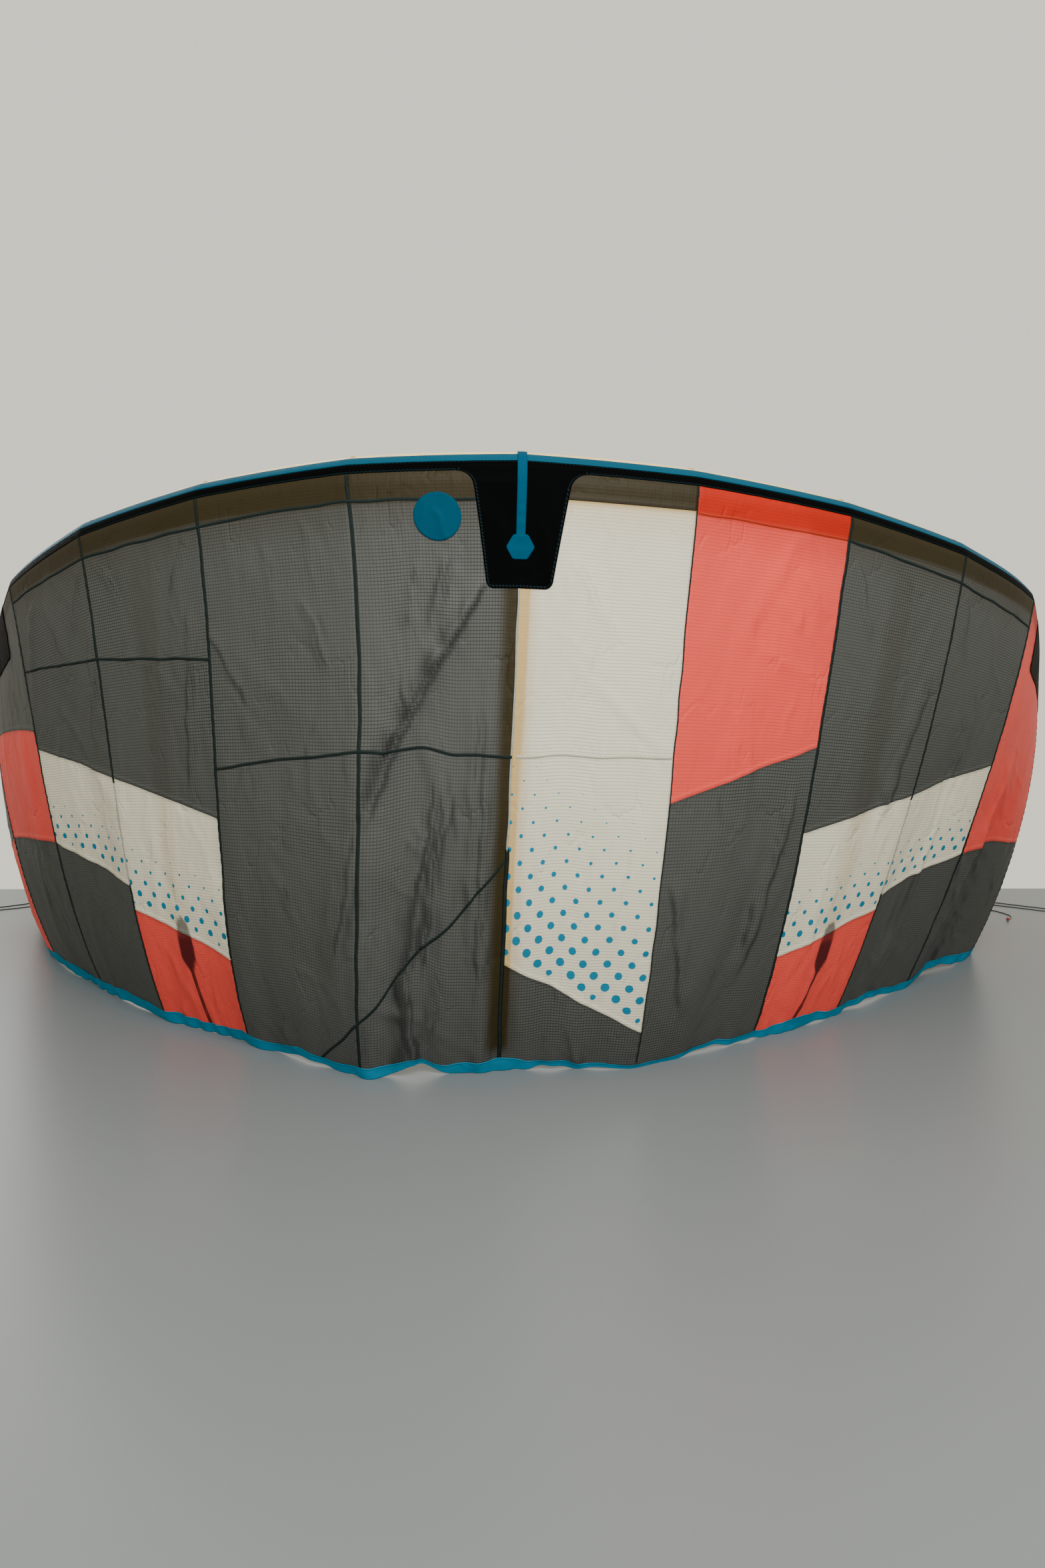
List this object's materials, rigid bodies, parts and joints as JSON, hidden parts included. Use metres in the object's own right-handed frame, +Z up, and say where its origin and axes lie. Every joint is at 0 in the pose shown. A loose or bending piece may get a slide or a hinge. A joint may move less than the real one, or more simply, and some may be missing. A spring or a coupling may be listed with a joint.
{
  "type": "kitesurfing kite",
  "caption": "Inflatable kitesurfing kite with curved canopy, tube leading edge and struts, standing on its trailing edge with bridle lines on the ground.",
  "frame": {"origin": "on the ground, under the middle of the kite without its lines", "axes": "+X to the right as seen from the outer side of the cloth, +Y away from that side towards the tips, +Z up"},
  "size_m": [4.7979, 2.1905, 1.7419],
  "materials": {
    "sleeve_cream": "coated woven polyester, satin",
    "ripstop_grey": "thin coated ripstop, slightly sheer",
    "ripstop_white": "thin coated ripstop, slightly sheer",
    "ripstop_coral": "thin coated ripstop, slightly sheer",
    "tape_blue": "woven polyester tape",
    "reinforcement_black": "heavy woven polyester, matt",
    "line_black": "braided line",
    "knot_red": "braided line"
  },
  "bodies": {
    "root": {"bridle_knot_left": "line_black", "bridle_knot_right": "line_black", "bridle_line_left": "line_black", "bridle_line_right": "line_black", "bridle_patch_left": "reinforcement_black", "bridle_patch_right": "reinforcement_black", "canopy_gore_left_1": "ripstop_grey", "canopy_gore_left_2": "ripstop_grey", "canopy_gore_left_3": "ripstop_white", "canopy_gore_left_4": "ripstop_grey", "canopy_gore_left_5": "ripstop_coral", "canopy_gore_left_6": "ripstop_grey", "canopy_gore_left_7": "ripstop_white", "canopy_gore_right_1": "ripstop_white", "canopy_gore_right_2": "ripstop_coral", "canopy_gore_right_3": "ripstop_grey", "canopy_gore_right_4": "ripstop_white", "canopy_gore_right_5": "ripstop_coral", "canopy_gore_right_6": "ripstop_grey", "canopy_gore_right_7": "ripstop_white", "centre_patch": "reinforcement_black", "edge_binding_centre": "tape_blue", "edge_binding_left_inner": "tape_blue", "edge_binding_left_outer": "tape_blue", "edge_binding_left_tip": "tape_blue", "edge_binding_right_inner": "tape_blue", "edge_binding_right_outer": "tape_blue", "edge_binding_right_tip": "tape_blue", "leading_edge_band_left": "reinforcement_black", "leading_edge_band_right": "reinforcement_black", "leading_edge_piping_left": "tape_blue", "leading_edge_piping_right": "tape_blue", "leading_edge_tube_left_1": "sleeve_cream", "leading_edge_tube_left_2": "sleeve_cream", "leading_edge_tube_left_3": "sleeve_cream", "leading_edge_tube_left_4": "sleeve_cream", "leading_edge_tube_left_5": "sleeve_cream", "leading_edge_tube_left_6": "sleeve_cream", "leading_edge_tube_left_7": "sleeve_cream", "leading_edge_tube_right_1": "sleeve_cream", "leading_edge_tube_right_2": "sleeve_cream", "leading_edge_tube_right_3": "sleeve_cream", "leading_edge_tube_right_4": "sleeve_cream", "leading_edge_tube_right_5": "sleeve_cream", "leading_edge_tube_right_6": "sleeve_cream", "leading_edge_tube_right_7": "sleeve_cream", "pull_strap": "tape_blue", "strap_pad": "tape_blue", "strut_cap_left": "reinforcement_black", "strut_cap_right": "reinforcement_black", "strut_centre": "sleeve_cream", "strut_left": "sleeve_cream", "strut_right": "sleeve_cream", "tail_patch_left": "reinforcement_black", "tail_patch_right": "reinforcement_black", "tail_webbing_left": "reinforcement_black", "tail_webbing_right": "reinforcement_black", "tip_knot_right": "knot_red", "tip_line_right": "line_black"}
  },
  "joints": []
}
